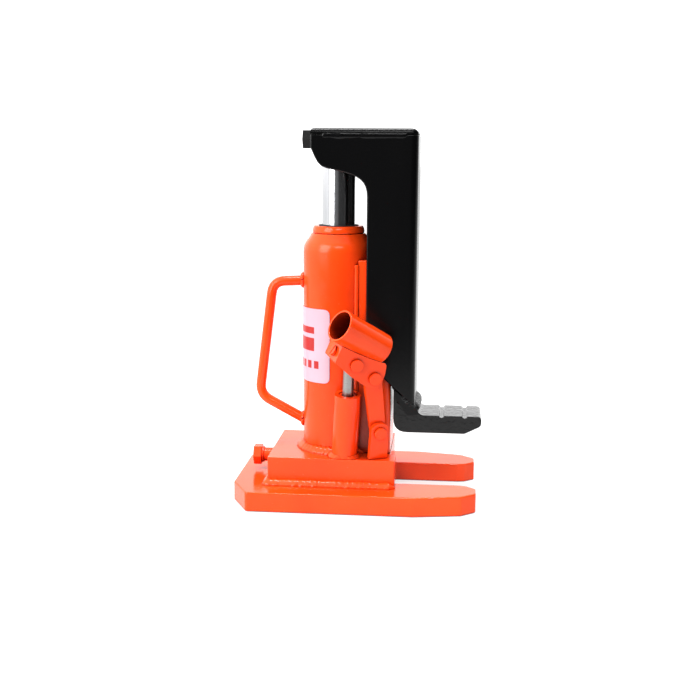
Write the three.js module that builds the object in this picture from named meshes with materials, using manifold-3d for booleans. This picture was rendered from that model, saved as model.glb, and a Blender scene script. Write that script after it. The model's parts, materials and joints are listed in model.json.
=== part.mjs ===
// Hydraulic toe jack: a small bottle jack on a forked base plate, with an
// L-shaped lifting claw bolted to its ram and guided by a rail behind it.
// Millimetres, +Z up, +X towards the toe, -Y towards the pump side.
// The origin is on the floor, on the axis of the ram.
import * as THREE from 'three';
import { mergeVertices } from 'three/addons/utils/BufferGeometryUtils.js';
import Module from 'manifold-3d';

const wasm = await Module();
wasm.setup();

// ---- driving dimensions -------------------------------------------------
const GAP = 0.3; // between pieces that touch
const FINE = 40; // segments round large turned pieces
const COARSE = 20; // segments round small turned pieces

const PLATE_TOP = 18; // forked base plate
const PLATE_HALF = 76.8;
const PLATE_LEFT = -91.5;
const PLATE_TIP = 130;
const SLOT_HALF = 34.1;
const SLOT_START = 50.3;

const BLOCK_TOP = 43.4; // pump block
const BLOCK_LEFT = -59.2;
const BLOCK_RIGHT = 56.6;
const BLOCK_HALF = 50.4;
const BLOCK_NOTCH = 51.6;
const BLOCK_NOTCH_HALF = 28.5;

const TANK_R = 32.2; // oil reservoir
const TANK_WALL = 2.5;
const TANK_SHOULDER = 228;
const TANK_TOP = 244;
const NECK_R = 23;
const NECK_TOP = 250.8;

const RAM_R = 15; // ram and pressure cylinder
const RAM_SHOULDER = 311;
const RAM_STUD_R = 9.5;
const RAM_STUD_TOP = 330;
const PISTON_BOTTOM = 106;
const PISTON_TOP = 124;
const CYLINDER_BORE_R = 18;
const CYLINDER_R = 22;
const CYLINDER_TOP = 236;

const RAIL_LEFT = 20.6; // guide rail of the claw
const RAIL_RIGHT = 51;
const RAIL_HALF = 27;
const RAIL_WALL = 6;
const RAIL_TOP = 221.5;

const CLAW_LEFT = 28.4; // lifting claw
const CLAW_RIGHT = 73.2;
const CLAW_HALF = 34.1;
const CLAW_INNER = 27.6;
const CLAW_TOP = 337.5;
const CLAW_CAP = 5;
const CLAW_ARM_LEFT = -22;
const CLAW_BEND_R = 6.5;
const CLAW_CORNER_R = 7;
const LOCK_Z = 328; // screw that locks the ram's stud
const WEB_LEFT = 66.7;

const TOE_LEFT = 53.4; // forged toe at the foot of the claw
const TOE_TIP = 134;
const TOE_HALF = 22;
const TOE_BOTTOM = 63;
const TOE_TOP = 79.6;
const TOE_UPRIGHT_TOP = 135;

const LINKAGE_TURN = 25 * Math.PI / 180; // pump linkage plane, about Z
const LINKAGE_LEAN = 8 * Math.PI / 180; // outward lean of the pump
const PUMP_FOOT = new THREE.Vector3(10, -38, BLOCK_TOP);
const PUMP_R = 12;
const PUMP_TOP = 60; // along the pump's own axis, above the block
const PLUNGER_R = 5;
const PIN_R = 4;
const PIN_HEAD_R = 5.8;
const PLUNGER_PIN = [-0.5, 94]; // pin centres in the linkage plane
const LINK_PIN = [17.5, 80.5];
const LUG_PIN = [26, 27.7];
const CHEEK_OUT = -19.4; // layers across the linkage plane
const CHEEK_IN = -14.9;
const LINK_OUT = -14.5;
const LINK_IN = -9.5;
const EYE_HALF = 4.8;
const BACK_IN = 5.2;
const BACK_OUT = 9;

const SOCKET_R = 14.5; // tube that takes the pump handle
const SOCKET_BORE_R = 12.75;
const SOCKET_LENGTH = 52;
const SOCKET_MOUTH = new THREE.Vector3(-17.4, -17.7, 130.7);
const SOCKET_AXIS = new THREE.Vector3(0.834, 0.192, -0.516).normalize();

const HANDLE_R = 4.6; // carrying handle
const HANDLE_BEND = 11;

// ---- materials ----------------------------------------------------------
function paint(color, roughness, metalness) {
  return new THREE.MeshStandardMaterial({ color, roughness, metalness });
}
const ORANGE = paint(0xff5a1e, 0.4, 0.0);
const BLACK = paint(0x0c0c0d, 0.3, 0.1);
const CHROME = paint(0xd8d8d8, 0.15, 1.0);
const STEEL = paint(0x8a8a8c, 0.4, 0.9);
const RUBBER = paint(0x1a1a1a, 0.8, 0.0);
const LABEL = paint(0xecd8e6, 0.5, 0.0);

// ---- shape helpers ------------------------------------------------------

// Merges a geometry's vertices, drops empty triangles and turns it outward.
function clean(geometry) {
  const bare = geometry.clone();
  bare.deleteAttribute('normal');
  bare.deleteAttribute('uv');
  const merged = mergeVertices(bare, 1e-4);
  const position = merged.attributes.position;
  const corner = (i) => new THREE.Vector3().fromBufferAttribute(position, i);
  const kept = [];
  let volume = 0;
  for (let i = 0; i < merged.index.count; i += 3) {
    const [a, b, c] = [0, 1, 2].map((k) => merged.index.getX(i + k));
    if (a === b || b === c || c === a) continue;
    kept.push(a, b, c);
    volume += corner(a).dot(corner(b).cross(corner(c)));
  }
  if (volume < 0) kept.reverse();
  merged.setIndex(kept);
  return merged;
}

function toSolid(geometry) {
  const closed = clean(geometry);
  return new wasm.Manifold(new wasm.Mesh({
    numProp: 3,
    vertProperties: new Float32Array(closed.attributes.position.array),
    triVerts: new Uint32Array(closed.index.array),
  }));
}

function fromSolid(solid) {
  const mesh = solid.getMesh();
  const geometry = new THREE.BufferGeometry();
  geometry.setAttribute('position', new THREE.BufferAttribute(mesh.vertProperties, 3));
  geometry.setIndex(new THREE.BufferAttribute(mesh.triVerts, 1));
  return geometry;
}

function cut(geometry, ...cutters) {
  const start = toSolid(geometry);
  return fromSolid(cutters.reduce((solid, cutter) => solid.subtract(toSolid(cutter)), start));
}

function join(...geometries) {
  const solids = geometries.map(toSolid);
  return fromSolid(solids.reduce((whole, solid) => whole.add(solid)));
}

function box(x0, x1, y0, y1, z0, z1) {
  return new THREE.BoxGeometry(x1 - x0, y1 - y0, z1 - z0)
    .translate((x0 + x1) / 2, (y0 + y1) / 2, (z0 + z1) / 2);
}

// Closed outline through [x, y, radius] corners; a radius rounds its corner.
function outline(corners) {
  const shape = new THREE.Shape();
  const count = corners.length;
  corners.forEach(([x, y, radius = 0], i) => {
    const here = new THREE.Vector2(x, y);
    const before = new THREE.Vector2(...corners[(i + count - 1) % count]);
    const after = new THREE.Vector2(...corners[(i + 1) % count]);
    const back = before.sub(here).normalize();
    const ahead = after.sub(here).normalize();
    const reach = radius ? radius / Math.tan(back.angleTo(ahead) / 2) : 0;
    const start = here.clone().addScaledVector(back, reach);
    const end = here.clone().addScaledVector(ahead, reach);
    if (i === 0) shape.moveTo(start.x, start.y);
    else shape.lineTo(start.x, start.y);
    if (radius) shape.quadraticCurveTo(x, y, end.x, end.y);
  });
  return shape;
}

// Outline in the XY plane, standing from z0 to z1.
function slab(shape, z0, z1, curveSegments = 5) {
  const options = { depth: z1 - z0, bevelEnabled: false, curveSegments };
  return new THREE.ExtrudeGeometry(shape, options).translate(0, 0, z0);
}

// Outline in the XZ plane, reaching from y0 to y1.
function sideSlab(shape, y0, y1, curveSegments = 6) {
  const options = { depth: y1 - y0, bevelEnabled: false, curveSegments };
  return new THREE.ExtrudeGeometry(shape, options).rotateX(Math.PI / 2).translate(0, y1, 0);
}

// Solid of revolution about Z from [radius, z] pairs.
function turned(profile, segments = FINE) {
  const points = profile.map(([radius, z]) => new THREE.Vector2(radius, z));
  return new THREE.LatheGeometry(points, segments).rotateX(Math.PI / 2);
}

function rod(radius, z0, z1, segments = COARSE) {
  return turned([[0, z0], [radius, z0], [radius, z1], [0, z1]], segments);
}

function ring(inner, outer, z0, z1, segments = FINE) {
  return turned([[inner, z0], [outer, z0], [outer, z1], [inner, z1], [inner, z0]], segments);
}

// Turns a piece made along Z so that it lies along Y or along X.
const alongY = (geometry) => geometry.rotateX(-Math.PI / 2);
const alongX = (geometry) => geometry.rotateY(Math.PI / 2);

// Hexagon bar from z0 to z1, measured across its corners.
function hexagon(radius, z0, z1) {
  return rod(radius, z0, z1, 6);
}

// ---- scene graph --------------------------------------------------------
const jack = new THREE.Group();
jack.name = 'toe_jack';

const linkage = new THREE.Group();
linkage.position.copy(PUMP_FOOT);
linkage.rotation.set(LINKAGE_LEAN, 0, LINKAGE_TURN, 'ZYX');
linkage.updateMatrixWorld(true);
jack.add(linkage);

function add(name, geometry, material, parent = jack) {
  const mesh = new THREE.Mesh(clean(geometry), material);
  mesh.name = name;
  parent.add(mesh);
}

// A linkage piece carried into the jack's own frame, for cutting.
const inJack = (geometry) => geometry.applyMatrix4(linkage.matrixWorld);
// A piece of the jack carried into the linkage's frame.
const inLinkage = (geometry) => geometry.applyMatrix4(linkage.matrixWorld.clone().invert());

// ---- base plate and pump block ------------------------------------------
function basePlate() {
  const half = [
    [PLATE_TIP, 43, 2], [PLATE_TIP, 58, 5], [117, 69.2, 6], [75, PLATE_HALF, 20],
    [-75, PLATE_HALF, 4], [PLATE_LEFT, 44, 5],
  ];
  const front = half.map(([x, y, radius]) => [x, -y, radius]);
  const slot = [
    [121, SLOT_HALF + 1.4, 4], [114, SLOT_HALF, 6], [SLOT_START, SLOT_HALF, 6],
  ];
  const slotFront = slot.map(([x, y, radius]) => [x, -y, radius]).reverse();
  add('base_plate', slab(outline([...slotFront, ...front, ...half.reverse(), ...slot]), 0, PLATE_TOP), ORANGE);
}

const VALVE_Z = 32;
const VALVE_STEM_R = 6.4;
const VALVE_DEPTH = -44;

function pumpBlock() {
  const corners = [
    [BLOCK_LEFT, -BLOCK_HALF, 1], [BLOCK_RIGHT, -BLOCK_HALF, 1],
    [BLOCK_RIGHT, -BLOCK_NOTCH_HALF], [BLOCK_NOTCH, -BLOCK_NOTCH_HALF],
    [BLOCK_NOTCH, BLOCK_HALF, 1], [BLOCK_LEFT, BLOCK_HALF, 1],
  ];
  const body = slab(outline(corners), PLATE_TOP + GAP, BLOCK_TOP, 2);
  const bore = alongX(rod(VALVE_STEM_R + GAP, BLOCK_LEFT - 5, VALVE_DEPTH)).translate(0, 0, VALVE_Z);
  add('pump_block', cut(body, bore), ORANGE);
}

// A fillet bead of triangular section round the foot of the block.
function blockWeld() {
  const leg = 5;
  const foot = PLATE_TOP + GAP;
  const bead = (length) => {
    const section = outline([[0, foot], [leg, foot], [0, foot + leg]]);
    return sideSlab(section, -length / 2, length / 2);
  };
  const sideStart = BLOCK_LEFT - leg + 1;
  const side = (sign, end) => bead(end - sideStart - 1)
    .rotateZ(sign * Math.PI / 2)
    .translate((sideStart + end) / 2, sign * (BLOCK_HALF + GAP), 0);
  const end = bead(2 * (BLOCK_HALF + GAP + leg - 1)).rotateZ(Math.PI).translate(BLOCK_LEFT - GAP, 0, 0);
  const room = box(BLOCK_LEFT - GAP, BLOCK_RIGHT + 9, -BLOCK_HALF - GAP, BLOCK_HALF + GAP, 0, 60);
  add('block_weld', cut(join(side(1, BLOCK_NOTCH), side(-1, BLOCK_RIGHT), end), room), ORANGE);
}

// ---- reservoir, pressure cylinder and ram -------------------------------
function tankOutline(shrink) {
  return [
    [TANK_R - shrink, BLOCK_TOP + GAP], [TANK_R - shrink, TANK_SHOULDER],
    [31.4 - shrink, 233.2], [29.4 - shrink, 237], [26.8 - shrink, 240.2],
  ];
}

function tank() {
  const inside = tankOutline(TANK_WALL).reverse();
  const profile = [
    ...tankOutline(0), [25.2, TANK_TOP - 0.8], [24.4, TANK_TOP], [22.6, TANK_TOP],
    [22.6, 240.6], ...inside,
  ];
  profile.push(profile[0]);
  const plug = alongY(rod(6.2, 20, 40)).translate(0, 0, 205);
  add('oil_tank', cut(turned(profile), plug), ORANGE);
}

function tankFittings() {
  add('gland_nut', turned([
    [RAM_R + GAP, CYLINDER_TOP + GAP], [22.3, CYLINDER_TOP + GAP], [22.3, TANK_TOP + GAP],
    [NECK_R + 0.5, TANK_TOP + GAP], [NECK_R + 0.8, 246], [NECK_R + 0.5, 248.4],
    [NECK_R - 0.7, NECK_TOP], [RAM_R + 3.5, NECK_TOP], [RAM_R + 3.5, 247],
    [RAM_R + GAP, 247], [RAM_R + GAP, CYLINDER_TOP + GAP],
  ]), ORANGE);
  add('wiper_seal', ring(RAM_R + GAP, RAM_R + 3.2, 247.3, NECK_TOP + 0.8), RUBBER);
  add('pressure_cylinder', ring(CYLINDER_BORE_R, CYLINDER_R, BLOCK_TOP + GAP, CYLINDER_TOP, 32), STEEL);
  const stem = alongY(rod(5.8, 26.5, 34)).translate(0, 0, 205);
  const head = alongY(rod(8, 33.6, 36)).translate(0, 0, 205);
  const seat = turned([[0, 190], [TANK_R + GAP, 190], [TANK_R + GAP, 220], [0, 220]]);
  add('filler_plug', join(stem, cut(head, seat)), RUBBER);
}

function ram() {
  add('ram', turned([
    [0, PISTON_TOP + GAP], [RAM_R, PISTON_TOP + GAP], [RAM_R, RAM_SHOULDER],
    [RAM_STUD_R, RAM_SHOULDER], [RAM_STUD_R, RAM_STUD_TOP], [0, RAM_STUD_TOP],
  ]), CHROME);
  const seatBottom = PISTON_BOTTOM + 5;
  const seatTop = PISTON_BOTTOM + 11;
  add('ram_piston', turned([
    [0, PISTON_BOTTOM], [CYLINDER_BORE_R - GAP, PISTON_BOTTOM], [CYLINDER_BORE_R - GAP, seatBottom],
    [CYLINDER_BORE_R - 3, seatBottom], [CYLINDER_BORE_R - 3, seatTop],
    [CYLINDER_BORE_R - GAP, seatTop], [CYLINDER_BORE_R - GAP, PISTON_TOP], [0, PISTON_TOP],
  ], 32), STEEL);
  add('ram_cup_seal', ring(CYLINDER_BORE_R - 2.7, CYLINDER_BORE_R - 0.1, seatBottom + GAP, seatTop - GAP, 32), RUBBER);
}

// ---- guide rail and carrying handle -------------------------------------
const tankCutter = () => rod(TANK_R + GAP, 0, 300, FINE);

function guideRail() {
  const corners = [
    [RAIL_LEFT, -RAIL_HALF], [RAIL_RIGHT, -RAIL_HALF, 4],
    [RAIL_RIGHT, RAIL_HALF, 4], [RAIL_LEFT, RAIL_HALF],
  ];
  const inner = RAIL_HALF - RAIL_WALL;
  const hollow = box(0, RAIL_RIGHT - RAIL_WALL, -inner, inner, 0, RAIL_TOP - 8);
  const body = slab(outline(corners), BLOCK_TOP + GAP, RAIL_TOP);
  add('guide_rail', cut(body, hollow, tankCutter()), ORANGE);
}

function railWelds() {
  const bead = (side) => {
    const section = new THREE.Shape();
    section.absarc(19.2, side * 26.2, 2.4, 0, 2 * Math.PI, false);
    return slab(section, 60, RAIL_TOP - 4, 4);
  };
  const rail = box(RAIL_LEFT - GAP, 60, -RAIL_HALF - 0.2, RAIL_HALF + 0.2, 0, 300);
  add('rail_weld_front', cut(bead(-1), rail, tankCutter(), pumpRoom()), ORANGE);
  add('rail_weld_rear', cut(bead(1), rail, tankCutter()), ORANGE);
}

function carryHandle() {
  const corners = [[-27, 200], [-61, 198.4], [-74.4, 90.8], [-27, 65.5]]
    .map(([x, z]) => new THREE.Vector3(x, 0, z));
  const path = new THREE.CurvePath();
  let start = corners[0];
  for (let i = 1; i < corners.length - 1; i += 1) {
    const back = corners[i - 1].clone().sub(corners[i]).setLength(HANDLE_BEND);
    const ahead = corners[i + 1].clone().sub(corners[i]).setLength(HANDLE_BEND);
    const enter = corners[i].clone().add(back);
    const leave = corners[i].clone().add(ahead);
    path.add(new THREE.LineCurve3(start, enter));
    path.add(new THREE.QuadraticBezierCurve3(enter, corners[i], leave));
    start = leave;
  }
  path.add(new THREE.LineCurve3(start, corners[corners.length - 1]));
  const section = new THREE.Shape();
  section.absarc(0, 0, HANDLE_R, 0, 2 * Math.PI, false);
  const options = { steps: 60, extrudePath: path, curveSegments: 6 };
  add('carry_handle', cut(new THREE.ExtrudeGeometry(section, options), tankCutter()), ORANGE);
}

// ---- release valve -------------------------------------------------------
function releaseValve() {
  const neck = alongX(rod(VALVE_STEM_R, -73, VALVE_DEPTH - 1));
  const tip = alongX(turned([[0, VALVE_DEPTH - 1], [4, VALVE_DEPTH - 1], [0, VALVE_DEPTH + 3]], COARSE));
  const head = alongX(hexagon(10, -80, -72.5));
  const collar = alongX(rod(7.6, -72.6, -70.5));
  const screw = join(neck, head, collar);
  add('release_valve', screw.translate(0, 0, VALVE_Z), ORANGE);
}

// ---- claw ----------------------------------------------------------------
// Side outline of the claw's cheeks: arm above the ram, column and slanted foot.
function cheekShape(top) {
  const shape = new THREE.Shape();
  shape.moveTo(CLAW_ARM_LEFT, top);
  shape.lineTo(CLAW_ARM_LEFT, 321);
  shape.bezierCurveTo(-18.5, 314.5, -16.5, 304.5, -8, 302.9);
  shape.bezierCurveTo(4, 300.3, 13, 298.7, 19, 295.4);
  shape.bezierCurveTo(25.5, 292, CLAW_LEFT, 287, CLAW_LEFT, 278);
  shape.lineTo(CLAW_LEFT, 131);
  shape.lineTo(52, 108.6);
  shape.lineTo(CLAW_RIGHT, 90.2);
  shape.lineTo(CLAW_RIGHT, top);
  return shape;
}

// The room inside the claw's rounded upper corner.
function clawCorner() {
  const corner = outline([
    [-60, 60], [CLAW_RIGHT, 60], [CLAW_RIGHT, CLAW_TOP, CLAW_CORNER_R], [-60, CLAW_TOP],
  ]);
  return toSolid(sideSlab(corner, -60, 60));
}

function clawChannel() {
  const side = sideSlab(cheekShape(CLAW_TOP - CLAW_CAP - GAP), -CLAW_HALF, CLAW_HALF, 5);
  const bend = slab(outline([
    [CLAW_ARM_LEFT - 5, -CLAW_HALF], [CLAW_RIGHT, -CLAW_HALF, CLAW_BEND_R],
    [CLAW_RIGHT, CLAW_HALF, CLAW_BEND_R], [CLAW_ARM_LEFT - 5, CLAW_HALF],
  ]), 80, 340);
  const hollow = box(CLAW_ARM_LEFT - 9, WEB_LEFT, -CLAW_INNER, CLAW_INNER, 80, 340);
  const channel = toSolid(side).intersect(toSolid(bend)).intersect(clawCorner()).subtract(toSolid(hollow));
  add('claw_channel', fromSolid(channel), BLACK);
}

// Top plate, its upper edges rolled over where they were welded and ground.
function clawTop() {
  const roll = 3.4;
  const corners = [
    [CLAW_ARM_LEFT + roll, -CLAW_HALF + roll], [CLAW_RIGHT - roll, -CLAW_HALF + roll, CLAW_BEND_R - roll],
    [CLAW_RIGHT - roll, CLAW_HALF - roll, CLAW_BEND_R - roll], [CLAW_ARM_LEFT + roll, CLAW_HALF - roll],
  ];
  const options = {
    depth: 10, bevelEnabled: true, bevelThickness: roll, bevelSize: roll, bevelSegments: 3, curveSegments: 4,
  };
  const rolled = new THREE.ExtrudeGeometry(outline(corners), options).translate(0, 0, CLAW_TOP - 10 - roll);
  const below = box(-60, 120, -60, 60, 300, CLAW_TOP - CLAW_CAP);
  const leftEnd = box(-60, CLAW_ARM_LEFT, -60, 60, 300, 360);
  const plate = toSolid(cut(rolled, below, leftEnd)).intersect(clawCorner());
  add('claw_top_plate', fromSolid(plate), BLACK);
}

function clawHeadBlock() {
  const reach = CLAW_INNER - GAP;
  const top = CLAW_TOP - CLAW_CAP - GAP;
  const side = outline([
    [CLAW_ARM_LEFT + 1, 321.5], [-16.4, RAM_SHOULDER + GAP], [22, RAM_SHOULDER + GAP],
    [22, top], [CLAW_ARM_LEFT + 1, top],
  ]);
  const body = sideSlab(side, -reach, reach);
  const socket = rod(RAM_STUD_R + GAP, 300, CLAW_TOP);
  const screwHole = alongX(rod(2.9, CLAW_ARM_LEFT - 5, -RAM_STUD_R + 3)).translate(0, 0, LOCK_Z);
  add('ram_socket_block', cut(body, socket, screwHole), BLACK);
}

function lockBolt() {
  const shank = rod(2.6, -26, -RAM_STUD_R - 0.8);
  const head = hexagon(9.3, -32.3, -25);
  const washer = rod(8.4, -25.1, CLAW_ARM_LEFT - GAP);
  add('ram_lock_bolt', alongX(join(shank, head, washer)).translate(0, 0, LOCK_Z), BLACK);
}

function toe() {
  const foot = outline([
    [TOE_LEFT, TOE_BOTTOM, 13], [TOE_TIP - 15, TOE_BOTTOM, 5], [TOE_TIP, TOE_BOTTOM + 7.5, 5],
    [TOE_TIP, TOE_TOP, 4], [79, TOE_TOP, 6], [WEB_LEFT - GAP, 92],
    [WEB_LEFT - GAP, TOE_UPRIGHT_TOP, 1], [TOE_LEFT, TOE_UPRIGHT_TOP, 1],
  ]);
  const grip = (x) => {
    const groove = rod(2.6, -TOE_HALF - 3, TOE_HALF + 3, 12);
    return alongY(groove).translate(x, 0, TOE_TOP + 0.6);
  };
  const body = sideSlab(foot, -TOE_HALF, TOE_HALF);
  add('claw_toe', cut(body, grip(97.6), grip(118.8)), BLACK);
}

// The bead that runs down the slanted foot of the column onto the toe.
function toeWeld() {
  const section = outline([
    [54, 106.4], [CLAW_RIGHT + 1.5, 89], [CLAW_RIGHT + 4, 81.5, 2], [CLAW_RIGHT - 7, 80.5], [54, 98],
  ]);
  const bead = sideSlab(section, -CLAW_HALF + 6.7, CLAW_HALF - 6.7);
  const sideSection = outline([
    [52.6, 107.3], [CLAW_RIGHT - 0.2, 89.6], [CLAW_RIGHT - 1, 83.5, 2], [59, 94.5, 2], [57, 101.5],
  ]);
  const side = (sign) => sideSlab(sideSection, sign * 29 - 5, sign * 29 + 4);
  const toeRoom = box(TOE_LEFT - 5, WEB_LEFT, -TOE_HALF - GAP, TOE_HALF + GAP, 60, 140);
  const footRoom = sideSlab(outline([
    [TOE_LEFT - 3, 50], [TOE_TIP, 50], [TOE_TIP, TOE_TOP + GAP], [79.1, TOE_TOP + GAP, 6],
    [WEB_LEFT, 92.3], [WEB_LEFT, 140], [TOE_LEFT - 3, 140],
  ]), -TOE_HALF - GAP, TOE_HALF + GAP);
  const rawBead = join(bead, side(1), side(-1));
  const columnRoom = sideSlab(cheekShape(CLAW_TOP), -CLAW_HALF - 5, CLAW_HALF + 5, 5).translate(0, 0, -GAP);
  add('toe_weld', cut(rawBead, toeRoom, footRoom, columnRoom), BLACK);
}

// ---- pump ----------------------------------------------------------------
function pumpRoom(extra = GAP) {
  return inJack(rod(PUMP_R + extra, -20, PUMP_TOP + 10, FINE));
}

function pumpCylinder() {
  const barrel = rod(PUMP_R, -8, PUMP_TOP, FINE);
  const bore = rod(PLUNGER_R + GAP, 8, PUMP_TOP + 5);
  const counterbore = rod(8.3, PUMP_TOP - 6, PUMP_TOP + 5);
  const ground = box(-40, 60, -80, 10, 20, BLOCK_TOP + GAP);
  add('pump_cylinder', cut(inJack(cut(barrel, bore, counterbore)), ground, tankCutter()), ORANGE);
}

function pumpPacking() {
  add('pump_gland', ring(PLUNGER_R + GAP, 8, PUMP_TOP - 5.7, PUMP_TOP - 0.6, COARSE), ORANGE, linkage);
}

function plunger() {
  const eye = PLUNGER_PIN[1];
  const stem = rod(PLUNGER_R, 20, eye - 6);
  const head = alongY(rod(7.4, -EYE_HALF, EYE_HALF)).translate(PLUNGER_PIN[0], 0, eye);
  const hole = alongY(rod(PIN_R + 2, -9, 9)).translate(PLUNGER_PIN[0], 0, eye);
  add('pump_plunger', cut(join(stem, head), hole), CHROME, linkage);
}

// Weld bead round the foot of the reservoir.
function tankWeld() {
  const foot = BLOCK_TOP + GAP;
  const bead = turned([
    [TANK_R + GAP, foot], [TANK_R + 6, foot], [TANK_R + 4.6, foot + 3.4],
    [TANK_R + GAP, foot + 6], [TANK_R + GAP, foot],
  ]);
  const rail = box(RAIL_LEFT - 2, 60, -60, RAIL_HALF + GAP, 0, 300);
  add('tank_weld', cut(bead, pumpRoom(3.6), rail), ORANGE);
}

// Two beads at the foot of the pump, either side of where it meets the edge.
function pumpWelds() {
  const foot = BLOCK_TOP + GAP;
  const bead = inJack(turned([[0, -10], [PUMP_R + 5, -10], [PUMP_R + 3, 1.5], [PUMP_R, 5], [0, 5]]));
  const ground = box(-200, 200, -200, 200, -50, foot);
  const overhang = box(-200, 200, -200, -BLOCK_HALF + 0.2, -50, 100);
  const tankRoom = rod(TANK_R + 6.4, 0, 100, FINE);
  const whole = cut(bead, ground, overhang, tankRoom, pumpRoom());
  const middle = PUMP_FOOT.x;
  add('pump_weld_left', cut(whole, box(middle, 200, -200, 200, 0, 200)), ORANGE);
  add('pump_weld_right', cut(whole, box(-200, middle, -200, 200, 0, 200)), ORANGE);
}

// ---- lug, link and handle socket -----------------------------------------
function pinHole(centre, radius) {
  return alongY(rod(radius, -60, 60)).translate(centre[0], 0, centre[1]);
}

// Headed pin across the linkage plane, from its washer at the back to its head.
function pin(name, centre, back, front) {
  const shank = rod(PIN_R, -back - 1, -front + 1);
  const head = rod(PIN_HEAD_R, -front, -front + 2.6);
  const clip = rod(PIN_R + 2, -back - 1.2, -back);
  const piece = join(shank, head, clip).rotateX(Math.PI / 2).translate(centre[0], 0, centre[1]);
  add(name, piece, ORANGE, linkage);
}

function pumpLug() {
  const [x, z] = LUG_PIN;
  const ear = outline([
    [x - 9.5, -12], [x + 8.5, -12], [x + 8, z + 2, 0], [x + 7.6, z + 9, 7.4], [x - 8.6, z + 9, 8],
  ]);
  const ground = inLinkage(box(-40, 90, -90, 20, 0, BLOCK_TOP + GAP));
  const body = cut(sideSlab(ear, CHEEK_OUT, CHEEK_IN, 8), pinHole(LUG_PIN, PIN_R + 0.15), ground);
  add('pump_lug', body, ORANGE, linkage);
}

function link() {
  const [x0, z0] = LUG_PIN;
  const [x1, z1] = LINK_PIN;
  const length = Math.hypot(x1 - x0, z1 - z0);
  const bar = new THREE.Shape();
  const wide = 8.4;
  const narrow = 7.2;
  bar.absarc(0, 0, narrow, Math.PI, 2 * Math.PI, false);
  bar.absarc(0, length, wide, 0, Math.PI, false);
  const body = sideSlab(bar, LINK_OUT, LINK_IN, 10)
    .rotateY(Math.atan2(x1 - x0, z1 - z0)).translate(x0, 0, z0);
  const holes = [pinHole(LUG_PIN, PIN_R + 0.15), pinHole(LINK_PIN, PIN_R + 0.15)];
  add('pump_link', cut(body, ...holes), ORANGE, linkage);
}

// Places a piece made along Z, mouth at zero, along the handle socket.
function alongSocket(geometry) {
  const turn = new THREE.Quaternion().setFromUnitVectors(new THREE.Vector3(0, 0, 1), SOCKET_AXIS);
  return geometry.applyQuaternion(turn).translate(...SOCKET_MOUTH.toArray());
}

function handleSocket() {
  const tube = ring(SOCKET_BORE_R, SOCKET_R, 0, SOCKET_LENGTH);
  add('handle_socket', alongSocket(tube), ORANGE, linkage);
}

// Cast yoke under the socket: an outer cheek, a short inner cheek and an end block.
function socketYoke() {
  const outer = outline([
    [-20.5, 97.5, 1.5], [-4.5, 83.2, 3], [12.5, 71.6, 6], [23, 71.5, 6],
    [27, 84, 6], [27.8, 92, 1.5], [12, 116], [-14, 122], [-14.5, 112, 1],
  ]);
  const cheek = sideSlab(outer, CHEEK_OUT, CHEEK_IN);
  const endBlock = sideSlab(outline([
    [-20.5, 97.5, 1.5], [-11.8, 89.8], [-8.2, 101], [-3, 121], [-14, 122], [-14.5, 112, 1],
  ]), CHEEK_IN - 1, BACK_OUT);
  const inner = sideSlab(outline([
    [-12.5, 90, 2], [0, 84, 6], [9.5, 86, 6], [10, 104], [0, 118], [-12, 118],
  ]), BACK_IN, BACK_OUT);
  const roof = sideSlab(outline([[-9, 101.9], [9.5, 103.6], [9.5, 112], [-9, 121]]), CHEEK_IN - 1, BACK_OUT);
  const body = join(cheek, endBlock, inner, roof);
  const socketRoom = alongSocket(rod(SOCKET_R + GAP, -40, 90, FINE));
  const linkRoom = box(7, 34, CHEEK_IN, BACK_IN + 20, 60, 96);
  const screwHole = clampAxis(join(rod(3.3, -2, 8), rod(5.1, -12, -0.7)));
  const holes = [pinHole(PLUNGER_PIN, PIN_R + 0.15), pinHole(LINK_PIN, PIN_R + 0.15)];
  add('socket_yoke', cut(body, socketRoom, linkRoom, screwHole, ...holes), ORANGE, linkage);
}

// Places a piece made along Z along the clamp screw, into the yoke's end face.
function clampAxis(geometry) {
  return geometry.rotateY(Math.PI / 2 + 0.6).translate(-16.6, -8, 104);
}

function clampScrew() {
  const shank = rod(3, -1, 7.4);
  const head = rod(4.8, -3.6, -1);
  const slot = box(-6, 6, -0.6, 0.6, -5, -2.4);
  add('clamp_screw', clampAxis(cut(join(shank, head), slot)), ORANGE, linkage);
}

// ---- label ----------------------------------------------------------------
// Sticker wrapped round the front left of the reservoir, with rounded corners.
function label() {
  const bottom = 109;
  const top = 177;
  const from = Math.PI * 0.97;
  const to = Math.PI * 1.457;
  const inside = TANK_R + GAP;
  const outside = TANK_R + 0.7;
  const steps = 18;
  const around = (radius, i) => {
    const angle = from + (to - from) * i / steps;
    return [radius * Math.cos(angle), radius * Math.sin(angle)];
  };
  const count = [...Array(steps + 1).keys()];
  const band = outline([
    ...count.map((i) => around(outside, i)),
    ...count.reverse().map((i) => around(inside, i)),
  ]);
  const left = outside * Math.sin(from);
  const right = outside * Math.cos(to);
  const frontView = outline([[-60, bottom], [right, bottom, 6], [right, top, 6], [-60, top]]);
  const sideView = outline([[bottom, -60], [top, -60], [top, left, 6], [bottom, left, 6]]);
  const front = toSolid(sideSlab(frontView, -60, 60));
  const side = toSolid(slab(sideView, -60, 60).rotateY(-Math.PI / 2));
  const wrapped = toSolid(slab(band, bottom, top)).intersect(front).intersect(side);
  add('capacity_label', fromSolid(wrapped), LABEL);
}

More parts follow.
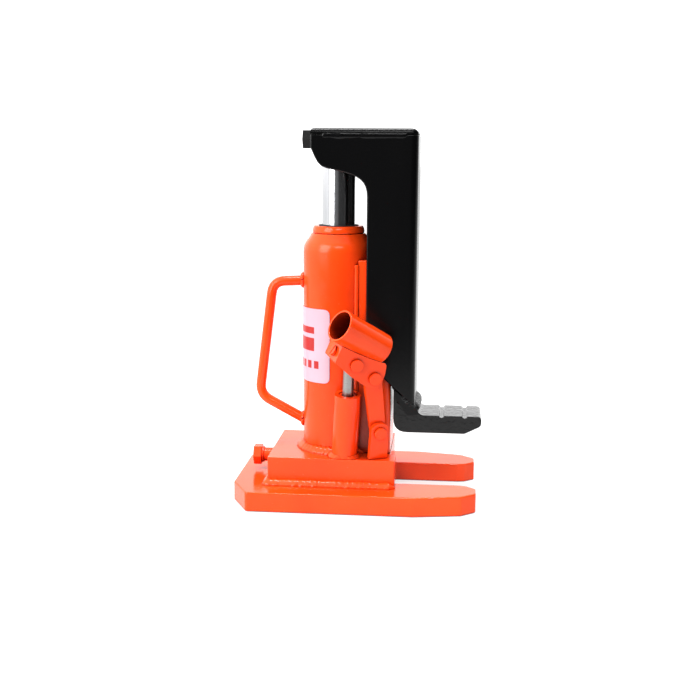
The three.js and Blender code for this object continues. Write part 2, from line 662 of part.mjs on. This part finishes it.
basePlate();
pumpBlock();
blockWeld();
tank();
tankFittings();
ram();
guideRail();
railWelds();
carryHandle();
releaseValve();
clawChannel();
clawTop();
clawHeadBlock();
lockBolt();
toe();
toeWeld();
pumpCylinder();
pumpPacking();
plunger();
tankWeld();
pumpWelds();
pumpLug();
link();
pin('lug_pin', LUG_PIN, LINK_IN + 0.4, CHEEK_OUT - GAP);
pin('link_pin', LINK_PIN, LINK_IN + 0.4, CHEEK_OUT - GAP);
pin('plunger_pin', PLUNGER_PIN, BACK_OUT + 0.4, CHEEK_OUT - GAP);
handleSocket();
socketYoke();
clampScrew();
label();

export default jack;
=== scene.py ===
"""Looks of a hydraulic toe jack: painted castings and plates, weld beads, a chromed ram,
a printed label and a plain pale studio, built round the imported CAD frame."""

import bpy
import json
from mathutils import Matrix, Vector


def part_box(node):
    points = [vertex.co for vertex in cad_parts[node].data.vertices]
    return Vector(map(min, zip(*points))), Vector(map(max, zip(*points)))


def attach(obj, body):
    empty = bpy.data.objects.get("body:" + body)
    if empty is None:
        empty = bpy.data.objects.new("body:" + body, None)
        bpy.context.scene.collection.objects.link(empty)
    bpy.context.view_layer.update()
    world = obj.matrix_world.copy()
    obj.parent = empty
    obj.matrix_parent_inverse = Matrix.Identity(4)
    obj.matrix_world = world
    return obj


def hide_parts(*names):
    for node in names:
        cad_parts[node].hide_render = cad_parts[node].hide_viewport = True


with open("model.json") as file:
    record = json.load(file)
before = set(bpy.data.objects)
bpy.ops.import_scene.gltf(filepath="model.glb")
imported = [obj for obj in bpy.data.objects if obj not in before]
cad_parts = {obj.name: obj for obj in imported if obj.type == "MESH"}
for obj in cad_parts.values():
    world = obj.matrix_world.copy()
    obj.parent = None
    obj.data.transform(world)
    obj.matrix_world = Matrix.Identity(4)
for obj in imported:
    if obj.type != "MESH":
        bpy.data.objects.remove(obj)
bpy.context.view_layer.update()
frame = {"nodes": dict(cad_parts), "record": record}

import json
import math

import bmesh
import bpy
from mathutils import Matrix, Vector, noise

MM = 0.001
nodes = frame["nodes"]
scene = bpy.context.scene


# ---- node helpers ---------------------------------------------------------

class Look:
    """A material with one Principled shader, and short calls to grow its node tree."""

    def __init__(self, name, color, roughness, metallic=0.0, coat=0.0, coat_roughness=0.05):
        self.material = bpy.data.materials.new(name)
        self.material.use_nodes = True
        self.tree = self.material.node_tree
        self.shader = self.tree.nodes["Principled BSDF"]
        self.shader.inputs["Base Color"].default_value = (*color, 1)
        self.shader.inputs["Roughness"].default_value = roughness
        self.shader.inputs["Metallic"].default_value = metallic
        self.shader.inputs["Coat Weight"].default_value = coat
        self.shader.inputs["Coat Roughness"].default_value = coat_roughness
        self.place = self.tree.nodes.new("ShaderNodeTexCoord").outputs["Object"]

    def node(self, kind, inputs=(), **settings):
        made = self.tree.nodes.new(kind)
        for key, value in settings.items():
            setattr(made, key, value)
        for key, value in dict(inputs).items():
            if isinstance(value, bpy.types.NodeSocket):
                self.tree.links.new(value, made.inputs[key])
            else:
                made.inputs[key].default_value = value
        return made

    def stretched(self, x, y, z):
        """The object's coordinates, in metres, multiplied along each axis."""
        return self.node("ShaderNodeMapping", {"Vector": self.place, "Scale": (x, y, z)}).outputs[0]

    def noise(self, scale, detail=2.0, place=None):
        inputs = {"Vector": place or self.place, "Scale": scale, "Detail": detail, "Roughness": 0.5}
        return self.node("ShaderNodeTexNoise", inputs).outputs["Fac"]

    def ramp(self, factor, low, high, start=0.0, end=1.0):
        """Turns a factor between low and high into a number between start and end."""
        inputs = {"Value": factor, "From Min": low, "From Max": high, "To Min": start, "To Max": end}
        return self.node("ShaderNodeMapRange", inputs).outputs[0]

    def mix(self, factor, first, second):
        made = self.tree.nodes.new("ShaderNodeMix")
        made.data_type = "RGBA"
        for key, value in (("Factor_Float", factor), ("A_Color", first), ("B_Color", second)):
            socket = next(s for s in made.inputs if s.identifier == key)
            if isinstance(value, bpy.types.NodeSocket):
                self.tree.links.new(value, socket)
            else:
                socket.default_value = value if isinstance(value, float) else (*value, 1)
        return next(s for s in made.outputs if s.identifier == "Result_Color")

    def crevice(self, distance):
        """One on open surfaces, falling towards zero where surfaces meet; the enamel paints shade with
        it.
        """
        made = self.node("ShaderNodeAmbientOcclusion", {"Distance": distance}, samples=8)
        return made.outputs["AO"]

    def bump(self, *layers):
        """Stacks (height, strength, depth in metres) layers onto the shader's normal."""
        normal = None
        for height, strength, depth in layers:
            inputs = {"Height": height, "Strength": strength, "Distance": depth}
            if normal:
                inputs["Normal"] = normal
            normal = self.node("ShaderNodeBump", inputs).outputs[0]
        self.tree.links.new(normal, self.shader.inputs["Normal"])

    def drive(self, key, socket):
        self.tree.links.new(socket, self.shader.inputs[key])


# ---- materials --------------------------------------------------------------

def orange_enamel(name, cast_bump, gloss, shade=(0.12, 0.5)):
    """Thick glossy orange enamel: orange peel, painted shade in creases and deep recesses, faint dust and
    small chips.
    Gloss is the lowest and the highest roughness. Shade is how closed in a recess is when its painted
    shade is darkest, and when it starts to darken."""
    look = Look(name, (0.95, 0.1, 0.015), 0.3)
    look.shader.inputs["Specular IOR Level"].default_value = 0.38
    drift = look.noise(14, 3)
    color = look.mix(look.ramp(drift, 0.35, 0.65), (0.94, 0.068, 0.005), (1.0, 0.088, 0.008))
    # Painted shade: a darker red where surfaces meet, from ambient occlusion over a few millimetres.
    crease_shade = look.ramp(look.crevice(0.004), 0.3, 0.85)
    color = look.mix(crease_shade, (0.62, 0.03, 0.005), color)
    # Painted shade: near black deep in recesses, from ambient occlusion over 35 millimetres.
    hollow_shade = look.ramp(look.crevice(0.035), *shade)
    color = look.mix(hollow_shade, (0.12, 0.004, 0.001), color)
    specks = look.ramp(look.noise(900, 1), 0.76, 0.79)
    color = look.mix(specks, color, (0.75, 0.16, 0.06))
    look.drive("Base Color", color)
    look.drive("Roughness", look.ramp(look.noise(60, 4), 0.3, 0.7, *gloss))
    look.bump((look.noise(70, 3), cast_bump, 0.0008), (look.noise(420, 2), 0.07, 0.0003))
    return look.material


def black_enamel():
    """Deep black gloss over rolled plate, with settled dust and faint handling marks."""
    look = Look("black_paint_gloss", (0.002, 0.002, 0.0023), 0.2)
    look.shader.inputs["Specular IOR Level"].default_value = 0.3
    dust = look.ramp(look.noise(650, 2), 0.73, 0.78, 0.0, 0.5)
    look.drive("Base Color", look.mix(dust, (0.002, 0.002, 0.0023), (0.02, 0.02, 0.022)))
    smear = look.noise(9, 5, look.stretched(1, 1, 0.25))
    look.drive("Roughness", look.ramp(smear, 0.3, 0.7, 0.14, 0.3))
    look.bump((look.noise(45, 3), 0.12, 0.0008), (look.noise(500, 2), 0.1, 0.0003))
    return look.material


def black_forging():
    """Glossy black over a rough forging, with scale pits and worn high spots."""
    look = Look("black_paint_forging", (0.006, 0.006, 0.007), 0.2, coat=0.35, coat_roughness=0.06)
    look.shader.inputs["Specular IOR Level"].default_value = 0.25
    worn = look.ramp(look.noise(130, 5), 0.6, 0.75, 0.0, 0.6)
    look.drive("Base Color", look.mix(worn, (0.003, 0.003, 0.0033), (0.014, 0.014, 0.015)))
    look.drive("Roughness", look.ramp(look.noise(210, 4), 0.35, 0.7, 0.1, 0.28))
    pits = look.ramp(look.noise(260, 4), 0.35, 0.6)
    look.bump((look.noise(90, 4), 0.4, 0.001), (pits, 0.3, 0.0004))
    lumps = look.node("ShaderNodeBump", {
        "Height": look.noise(110, 3), "Strength": 0.3, "Distance": 0.001,
    }).outputs[0]
    look.drive("Coat Normal", lumps)
    return look.material


def hard_chrome():
    """Ground and plated rod: fine rings left by grinding under a bright film of oil."""
    look = Look("chrome_rod", (0.78, 0.78, 0.79), 0.12, metallic=1.0)
    rings = look.noise(1, 4, look.stretched(25, 25, 1600))
    look.drive("Roughness", look.ramp(rings, 0.3, 0.7, 0.16, 0.2))
    film = look.noise(22, 3, look.stretched(1, 1, 0.4))
    look.drive("Base Color", look.mix(look.ramp(film, 0.35, 0.7), (0.68, 0.68, 0.69), (0.58, 0.59, 0.61)))
    look.bump((rings, 0.005, 0.0001))
    return look.material


def machined_steel():
    look = Look("machined_steel", (0.34, 0.33, 0.32), 0.35, metallic=1.0)
    rings = look.noise(1, 3, look.stretched(120, 120, 2200))
    look.drive("Roughness", look.ramp(rings, 0.3, 0.7, 0.25, 0.45))
    look.bump((rings, 0.15, 0.0002))
    return look.material


def seal_rubber():
    look = Look("seal_rubber", (0.012, 0.012, 0.012), 0.6)
    bloom = look.ramp(look.noise(140, 4), 0.5, 0.75)
    look.drive("Base Color", look.mix(bloom, (0.012, 0.012, 0.012), (0.04, 0.038, 0.036)))
    look.drive("Roughness", look.ramp(look.noise(300, 3), 0.3, 0.7, 0.5, 0.75))
    look.bump((look.noise(700, 3), 0.2, 0.0002))
    return look.material


def printed_film(name, color, faded):
    """Sticker film: a soft satin face with a little fading and fine texture."""
    look = Look(name, color, 0.35, coat=0.2, coat_roughness=0.2)
    look.drive("Base Color", look.mix(look.ramp(look.noise(30, 4), 0.35, 0.7), color, faded))
    look.drive("Roughness", look.ramp(look.noise(90, 3), 0.3, 0.7, 0.28, 0.45))
    look.bump((look.noise(60, 2), 0.08, 0.0004), (look.noise(900, 2), 0.06, 0.0001))
    return look.material


def floor_paint():
    look = Look("studio_floor", (0.32, 0.32, 0.32), 0.7)
    look.shader.inputs["Specular IOR Level"].default_value = 0.1
    look.shader.inputs["Emission Color"].default_value = (1, 1, 1, 1)
    look.shader.inputs["Emission Strength"].default_value = 0.72
    look.drive("Roughness", look.ramp(look.noise(3, 2), 0.3, 0.7, 0.65, 0.8))
    return look.material


ORANGE = orange_enamel("orange_paint_cast", 0.14, (0.14, 0.26))
ORANGE_PLATE = orange_enamel("orange_paint_plate", 0.06, (0.1, 0.2))
# The tube's enamel paints its shade further out of its recesses, which darkens the bore.
ORANGE_TUBE = orange_enamel("orange_paint_tube", 0.08, (0.1, 0.2), (0.35, 0.85))
BLACK = black_enamel()
FORGED = black_forging()
CHROME = hard_chrome()
STEEL = machined_steel()
RUBBER = seal_rubber()
FILM = printed_film("label_film", (0.6, 0.42, 0.49), (0.55, 0.37, 0.44))
PRINT = printed_film("label_print", (0.4, 0.004, 0.003), (0.45, 0.012, 0.008))

SLOT_LOOKS = {
    "orange_paint": ORANGE, "orange_plate": ORANGE_PLATE, "black_paint": BLACK,
    "black_forging": FORGED, "chrome": CHROME, "bare_steel": STEEL, "rubber": RUBBER,
    "label": FILM,
}
NODE_LOOKS = {"handle_socket": ORANGE_TUBE, "pump_plunger": STEEL}


# ---- carried-over CAD nodes -------------------------------------------------

# Width of the rounded edge on each node, in millimetres. The rest get SMALL_EDGE.
SMALL_EDGE = 0.35
EDGES = {
    "base_plate": 1.3, "pump_block": 0.9, "claw_channel": 1.3, "claw_top_plate": 1.8,
    "claw_toe": 2.6, "guide_rail": 1.2, "pump_lug": 0.9, "pump_link": 0.9, "socket_yoke": 0.9,
    "handle_socket": 0.5, "pump_cylinder": 0.8, "gland_nut": 0.5, "ram_lock_bolt": 0.6,
    "release_valve": 0.6, "capacity_label": 0.1,
}
SOFTENED_BY_SHAPE = ("carry_handle",)


def finish_node(name, material):
    """Gives a CAD node its material, rounded edges and smooth shading, all as modifiers."""
    piece = nodes[name]
    piece.data.materials.clear()
    piece.data.materials.append(material)
    for face in piece.data.polygons:
        face.use_smooth = True
    weld = piece.modifiers.new("weld", "WELD")
    weld.merge_threshold = 1e-5
    if name not in SOFTENED_BY_SHAPE:
        flat = piece.modifiers.new("flat_faces", "DECIMATE")
        flat.decimate_type = "DISSOLVE"
        flat.angle_limit = math.radians(0.6)
        edge = piece.modifiers.new("edges", "BEVEL")
        edge.width = EDGES.get(name, SMALL_EDGE) * MM
        edge.segments = 3
        edge.limit_method = "ANGLE"
        edge.angle_limit = math.radians(32)
        edge.miter_outer = "MITER_ARC"
    shade = piece.modifiers.new("shading", "WEIGHTED_NORMAL")
    shade.keep_sharp = False


for part in frame["record"]["subparts"]:
    finish_node(part["node"], NODE_LOOKS.get(part["node"], SLOT_LOOKS[part["material_slot"]]))


# ---- new pieces ---------------------------------------------------------------

def add_piece(name, mesh, material, body):
    mesh.materials.append(material)
    for face in mesh.polygons:
        face.use_smooth = True
    piece = bpy.data.objects.new(name, mesh)
    scene.collection.objects.link(piece)
    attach(piece, body)
    return piece


def path_points(corners, closed, step):
    """Evenly spaced points along straight stretches between the corners."""
    ends = corners + corners[:1] if closed else corners
    points = []
    for start, end in zip(ends, ends[1:]):
        start, end = Vector(start), Vector(end)
        count = max(1, round((end - start).length / step))
        points += [start.lerp(end, i / count) for i in range(count)]
    return points if closed else points + [Vector(ends[-1])]


# Weld beads, in millimetres.
BEAD_SIDES = 12
BEAD_STEP = 0.6
BEAD_LEAN = 0.35
SWELL_RATE = 0.07
FINE_SWELL_RATE = 0.23
FINE_SWELL_SHARE = 0.44
TIP_SHARE = 0.35
TIP_LENGTH = 1.4


def weld_bead(name, corners, radius, material, body,
              closed=False, pitch=4.5, ripple=0.05, fillet=0.8, seed=0.0, wave=0.16):
    """A laid weld bead, in millimetres, whose crescents overlap along the path.
    Fillet flattens its section from a circle, at zero, to a diamond, at one.
    Wave is how far its radius drifts, as a share."""
    points = path_points(corners, closed, BEAD_STEP)
    count = len(points)
    mesh = bmesh.new()
    rings = []
    for i, point in enumerate(points):
        before = points[i - 1] if i or closed else points[i]
        after = points[(i + 1) % count] if i + 1 < count or closed else points[i]
        along = (after - before).normalized()
        side = along.cross(Vector((0, 0, 1)))
        if side.length < 0.2:
            side = along.cross(Vector((0, 1, 0)))
        side.normalize()
        over = side.cross(along).normalized()
        travel = i * BEAD_STEP
        wander = noise.noise(Vector((travel * SWELL_RATE, seed, 3.1)))
        fine = noise.noise(Vector((travel * FINE_SWELL_RATE, seed, 8.7)))
        crescents = ripple * abs(math.sin(math.pi * travel / pitch))
        swell = 1 + wave * (wander + FINE_SWELL_SHARE * fine) + crescents
        end_gap = min(i, count - 1 - i) * BEAD_STEP
        taper = 1 if closed else min(1, TIP_SHARE + end_gap / (TIP_LENGTH * radius))
        ring = []
        for k in range(BEAD_SIDES):
            angle = 2 * math.pi * k / BEAD_SIDES
            corner = abs(math.cos(angle)) + abs(math.sin(angle))
            reach = radius * swell * taper / corner ** fillet
            offset = side * math.cos(angle) * reach + over * math.sin(angle) * reach
            lean = along * (BEAD_LEAN * radius * math.cos(angle - math.pi / 4) ** 2)
            ring.append(mesh.verts.new((point + offset + lean) * MM))
        rings.append(ring)
    pairs = list(zip(rings, rings[1:])) + ([(rings[-1], rings[0])] if closed else [])
    for low, high in pairs:
        for k in range(BEAD_SIDES):
            n = (k + 1) % BEAD_SIDES
            mesh.faces.new((low[k], low[n], high[n], high[k]))
    if not closed:
        mesh.faces.new(rings[0][::-1])
        mesh.faces.new(rings[-1])
    bmesh.ops.recalc_face_normals(mesh, faces=mesh.faces)
    data = bpy.data.meshes.new(name)
    mesh.to_mesh(data)
    mesh.free()
    return add_piece(name, data, material, body)


PRINT_THICKNESS = 0.12  # millimetres
PATCH_STEP = 3  # degrees


def shell_patch(name, radius, angles, heights, material, body):
    """A thin curved patch on a cylinder about the ram's axis, in degrees and millimetres."""
    steps = max(2, round((angles[1] - angles[0]) / PATCH_STEP))
    mesh = bmesh.new()
    columns = []
    for i in range(steps + 1):
        angle = math.radians(angles[0] + (angles[1] - angles[0]) * i / steps)
        around = Vector((math.cos(angle), math.sin(angle), 0))
        column = []
        for reach, height in (
            (radius, heights[0]), (radius + PRINT_THICKNESS, heights[0]),
            (radius + PRINT_THICKNESS, heights[1]), (radius, heights[1]),
        ):
            column.append(mesh.verts.new((around * reach + Vector((0, 0, height))) * MM))
        columns.append(column)
    for left, right in zip(columns, columns[1:]):
        for k in range(4):
            n = (k + 1) % 4
            mesh.faces.new((left[k], right[k], right[n], left[n]))
    mesh.faces.new(columns[0])
    mesh.faces.new(columns[-1][::-1])
    bmesh.ops.recalc_face_normals(mesh, faces=mesh.faces)
    data = bpy.data.meshes.new(name)
    mesh.to_mesh(data)
    mesh.free()
    piece = add_piece(name, data, material, body)
    for face in data.polygons:
        face.use_smooth = False
    return piece


def in_mm(node):
    low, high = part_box(node)
    return low / MM, high / MM


# The CAD leaves this gap, in millimetres, between pieces that touch.
CAD_GAP = 0.3

# Weld round the foot of the pump block, on three sides.
block_low, block_high = in_mm("pump_block")
foot = block_low.z - CAD_GAP
rail_high = in_mm("guide_rail")[1]
block_bead = weld_bead("block_bead", [
    (rail_high.x - 4, block_high.y, foot),
    (block_low.x, block_high.y, foot),
    (block_low.x, block_low.y, foot),
    (block_high.x - 1, block_low.y, foot),
], 5.6, ORANGE, "base", pitch=6, seed=1.0)
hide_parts("block_weld")

# Weld round the foot of the reservoir.
tank_low, tank_high = in_mm("oil_tank")
tank_radius = tank_high.x
deck = tank_low.z - CAD_GAP


def turns(count):
    """Angles of evenly spaced points round a circle."""
    return [2 * math.pi * i / count for i in range(count)]


tank_foot = [(math.cos(a) * tank_radius, math.sin(a) * tank_radius, deck) for a in turns(180)]
tank_bead = weld_bead("tank_bead", tank_foot, 6.2, ORANGE,
                      "base", closed=True, ripple=0.07, seed=2.0)
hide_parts("tank_weld")

# Ground weld along the rolled upper edges of the claw.
top_low, top_high = in_mm("claw_top_plate")
RIM_DEPTH = 6.15
RIM_INSET = 5.0
rim_z = top_high.z - RIM_DEPTH
for side, y in (("front", top_low.y + RIM_INSET), ("rear", top_high.y - RIM_INSET)):
    weld_bead(f"claw_bead_{side}", [
        (top_low.x + 5, y, rim_z), (top_high.x - 6.5, y, rim_z),
    ], 5.6, BLACK, "lift", pitch=13, ripple=0.02, fillet=0.0, seed=3.0 + y, wave=0.07)

# Welds that carry the toe on the column.
toe_low, toe_high = in_mm("claw_toe")
web_x = top_high.x
for side, sign in (("front", -1), ("rear", 1)):
    weld_bead(f"toe_bead_{side}", [
        (58.0, sign * 29.5, 101.5), (web_x - 1, sign * 29.5, 88.6),
    ], 4.6, FORGED, "lift", pitch=4.2, ripple=0.12, fillet=0.2, seed=7.0 + sign)
    weld_bead(f"toe_fillet_{side}", [
        (56.0, sign * 22.0, 99.0), (web_x, sign * 22.0, 84.5),
    ], 5.0, FORGED, "lift", pitch=4.2, ripple=0.12, fillet=0.3, seed=8.0 + sign)
weld_bead("toe_bead_heel", [
    (web_x - 0.4, toe_low.y - 6, 87.4), (web_x - 0.4, toe_high.y + 6, 87.4),
], 5.2, FORGED, "lift", pitch=4.6, ripple=0.12, fillet=0.3, seed=9.0)

# Weld collars where the carrying handle meets the reservoir.
COLLAR_RADIUS = 4.9
HANDLE_FOOT_Z = 68.6
collar_x = -tank_radius - 0.4
handle_top = in_mm("carry_handle")[1].z - 4.2
for end, height in (("upper", handle_top), ("lower", HANDLE_FOOT_Z)):
    collar = [
        (collar_x, math.cos(a) * COLLAR_RADIUS, height + math.sin(a) * COLLAR_RADIUS)
        for a in turns(40)
    ]
    weld_bead(f"handle_bead_{end}", collar, 2.4, ORANGE, "base",
              closed=True, ripple=0.1, fillet=0.3, seed=11.0 + height)

# Red print on the label: plain bars, with no lettering.
# It sits this far, in millimetres, into the film.
PRINT_SINK = 0.02
label_radius = -in_mm("capacity_label")[0].x - PRINT_SINK
for i, (angles, heights) in enumerate((
    ((190, 234), (154, 160)),
    ((190, 234), (138, 150)),
    ((190, 198), (122, 129)),
    ((204, 213), (122, 129)),
    ((219, 228), (122, 129)),
    ((234, 243), (122, 129)),
)):
    shell_patch(f"label_bar_{i}", label_radius, angles, heights, PRINT, "base")


# ---- studio -------------------------------------------------------------------

FLOOR_HALF = 12
FLOOR_FRONT = 0.62
FLOOR_DROP = 0.0002
CAMERA_PLACE = (0.10468, -0.99407, 0.31699)
CAMERA_ANGLES = (5.38, 10.33, 0.33)
LENS = 55.885


def make_floor():
    """A pale floor that ends in front, so that it doesn't light the dark side of the studio."""
    mesh = bmesh.new()
    bmesh.ops.create_grid(mesh, x_segments=2, y_segments=2, size=FLOOR_HALF)
    bmesh.ops.translate(mesh, verts=mesh.verts, vec=(0, FLOOR_HALF - FLOOR_FRONT, 0))
    data = bpy.data.meshes.new("floor")
    mesh.to_mesh(data)
    mesh.free()
    data.materials.append(floor_paint())
    floor = bpy.data.objects.new("floor", data)
    floor.location.z = -FLOOR_DROP
    scene.collection.objects.link(floor)


def make_camera():
    """The camera stands low at the right of the front, looking a little down and to the left."""
    turn, dip, roll = (math.radians(a) for a in CAMERA_ANGLES)
    back = Vector((math.sin(turn) * math.cos(dip), -math.cos(turn) * math.cos(dip), math.sin(dip)))
    right = Vector((math.cos(turn), math.sin(turn), 0))
    up = back.cross(right)
    rolled_right = right * math.cos(roll) + up * math.sin(roll)
    rolled_up = up * math.cos(roll) - right * math.sin(roll)
    data = bpy.data.cameras.new("camera")
    data.sensor_width = 36
    data.lens = LENS
    data.clip_end = 60
    camera = bpy.data.objects.new("camera", data)
    facing = Matrix((rolled_right, rolled_up, back)).transposed().to_4x4()
    camera.matrix_world = Matrix.Translation(CAMERA_PLACE) @ facing
    scene.collection.objects.link(camera)
    scene.camera = camera


def make_light(name, place, aim, size, power):
    data = bpy.data.lights.new(name, "AREA")
    data.shape = "RECTANGLE"
    data.size, data.size_y = size
    data.energy = power
    light = bpy.data.objects.new(name, data)
    light.location = place
    light.rotation_euler = (Vector(aim) - Vector(place)).to_track_quat("-Z", "Y").to_euler()
    scene.collection.objects.link(light)


BRIGHT_SIDE = (-0.5, 0.65, 0.57)
DARK_STRENGTH = 0.05
BRIGHT_STRENGTH = 1.7


def make_world():
    """A studio that is bright behind, above and to the left, and dark to the right and in front.
    The camera itself sees it as plain white."""
    world = bpy.data.worlds.new("studio")
    world.use_nodes = True
    tree = world.node_tree
    background = tree.nodes["Background"]
    place = tree.nodes.new("ShaderNodeTexCoord")
    facing = tree.nodes.new("ShaderNodeVectorMath")
    facing.operation = "DOT_PRODUCT"
    facing.inputs[1].default_value = BRIGHT_SIDE
    tree.links.new(place.outputs["Generated"], facing.inputs[0])
    fade = tree.nodes.new("ShaderNodeMapRange")
    fade.interpolation_type = "SMOOTHSTEP"
    fade.inputs["From Min"].default_value = -0.4
    fade.inputs["From Max"].default_value = 0.55
    fade.inputs["To Min"].default_value = DARK_STRENGTH
    fade.inputs["To Max"].default_value = BRIGHT_STRENGTH
    tree.links.new(facing.outputs["Value"], fade.inputs["Value"])
    seen = tree.nodes.new("ShaderNodeLightPath")
    backdrop = tree.nodes.new("ShaderNodeMath")
    backdrop.operation = "MAXIMUM"
    tree.links.new(fade.outputs[0], backdrop.inputs[0])
    tree.links.new(seen.outputs["Is Camera Ray"], backdrop.inputs[1])
    tree.links.new(backdrop.outputs[0], background.inputs["Strength"])
    background.inputs["Color"].default_value = (1, 1, 1, 1)
    scene.world = world


make_floor()
make_camera()
make_world()
middle = (0, 0, 0.16)
make_light("key_softbox", (-1.1, -1.2, 0.75), middle, (1.0, 1.3), 25)
make_light("front_softbox", (0.2, -1.9, 1.4), middle, (0.9, 0.4), 9)
make_light("fill_card", (-0.35, -1.8, 0.4), middle, (0.9, 1.2), 0.5)
make_light("top_softbox", (0.0, -0.1, 1.5), middle, (0.7, 0.2), 15)
scene.view_settings.view_transform = "Standard"
scene.view_settings.gamma = 0.9
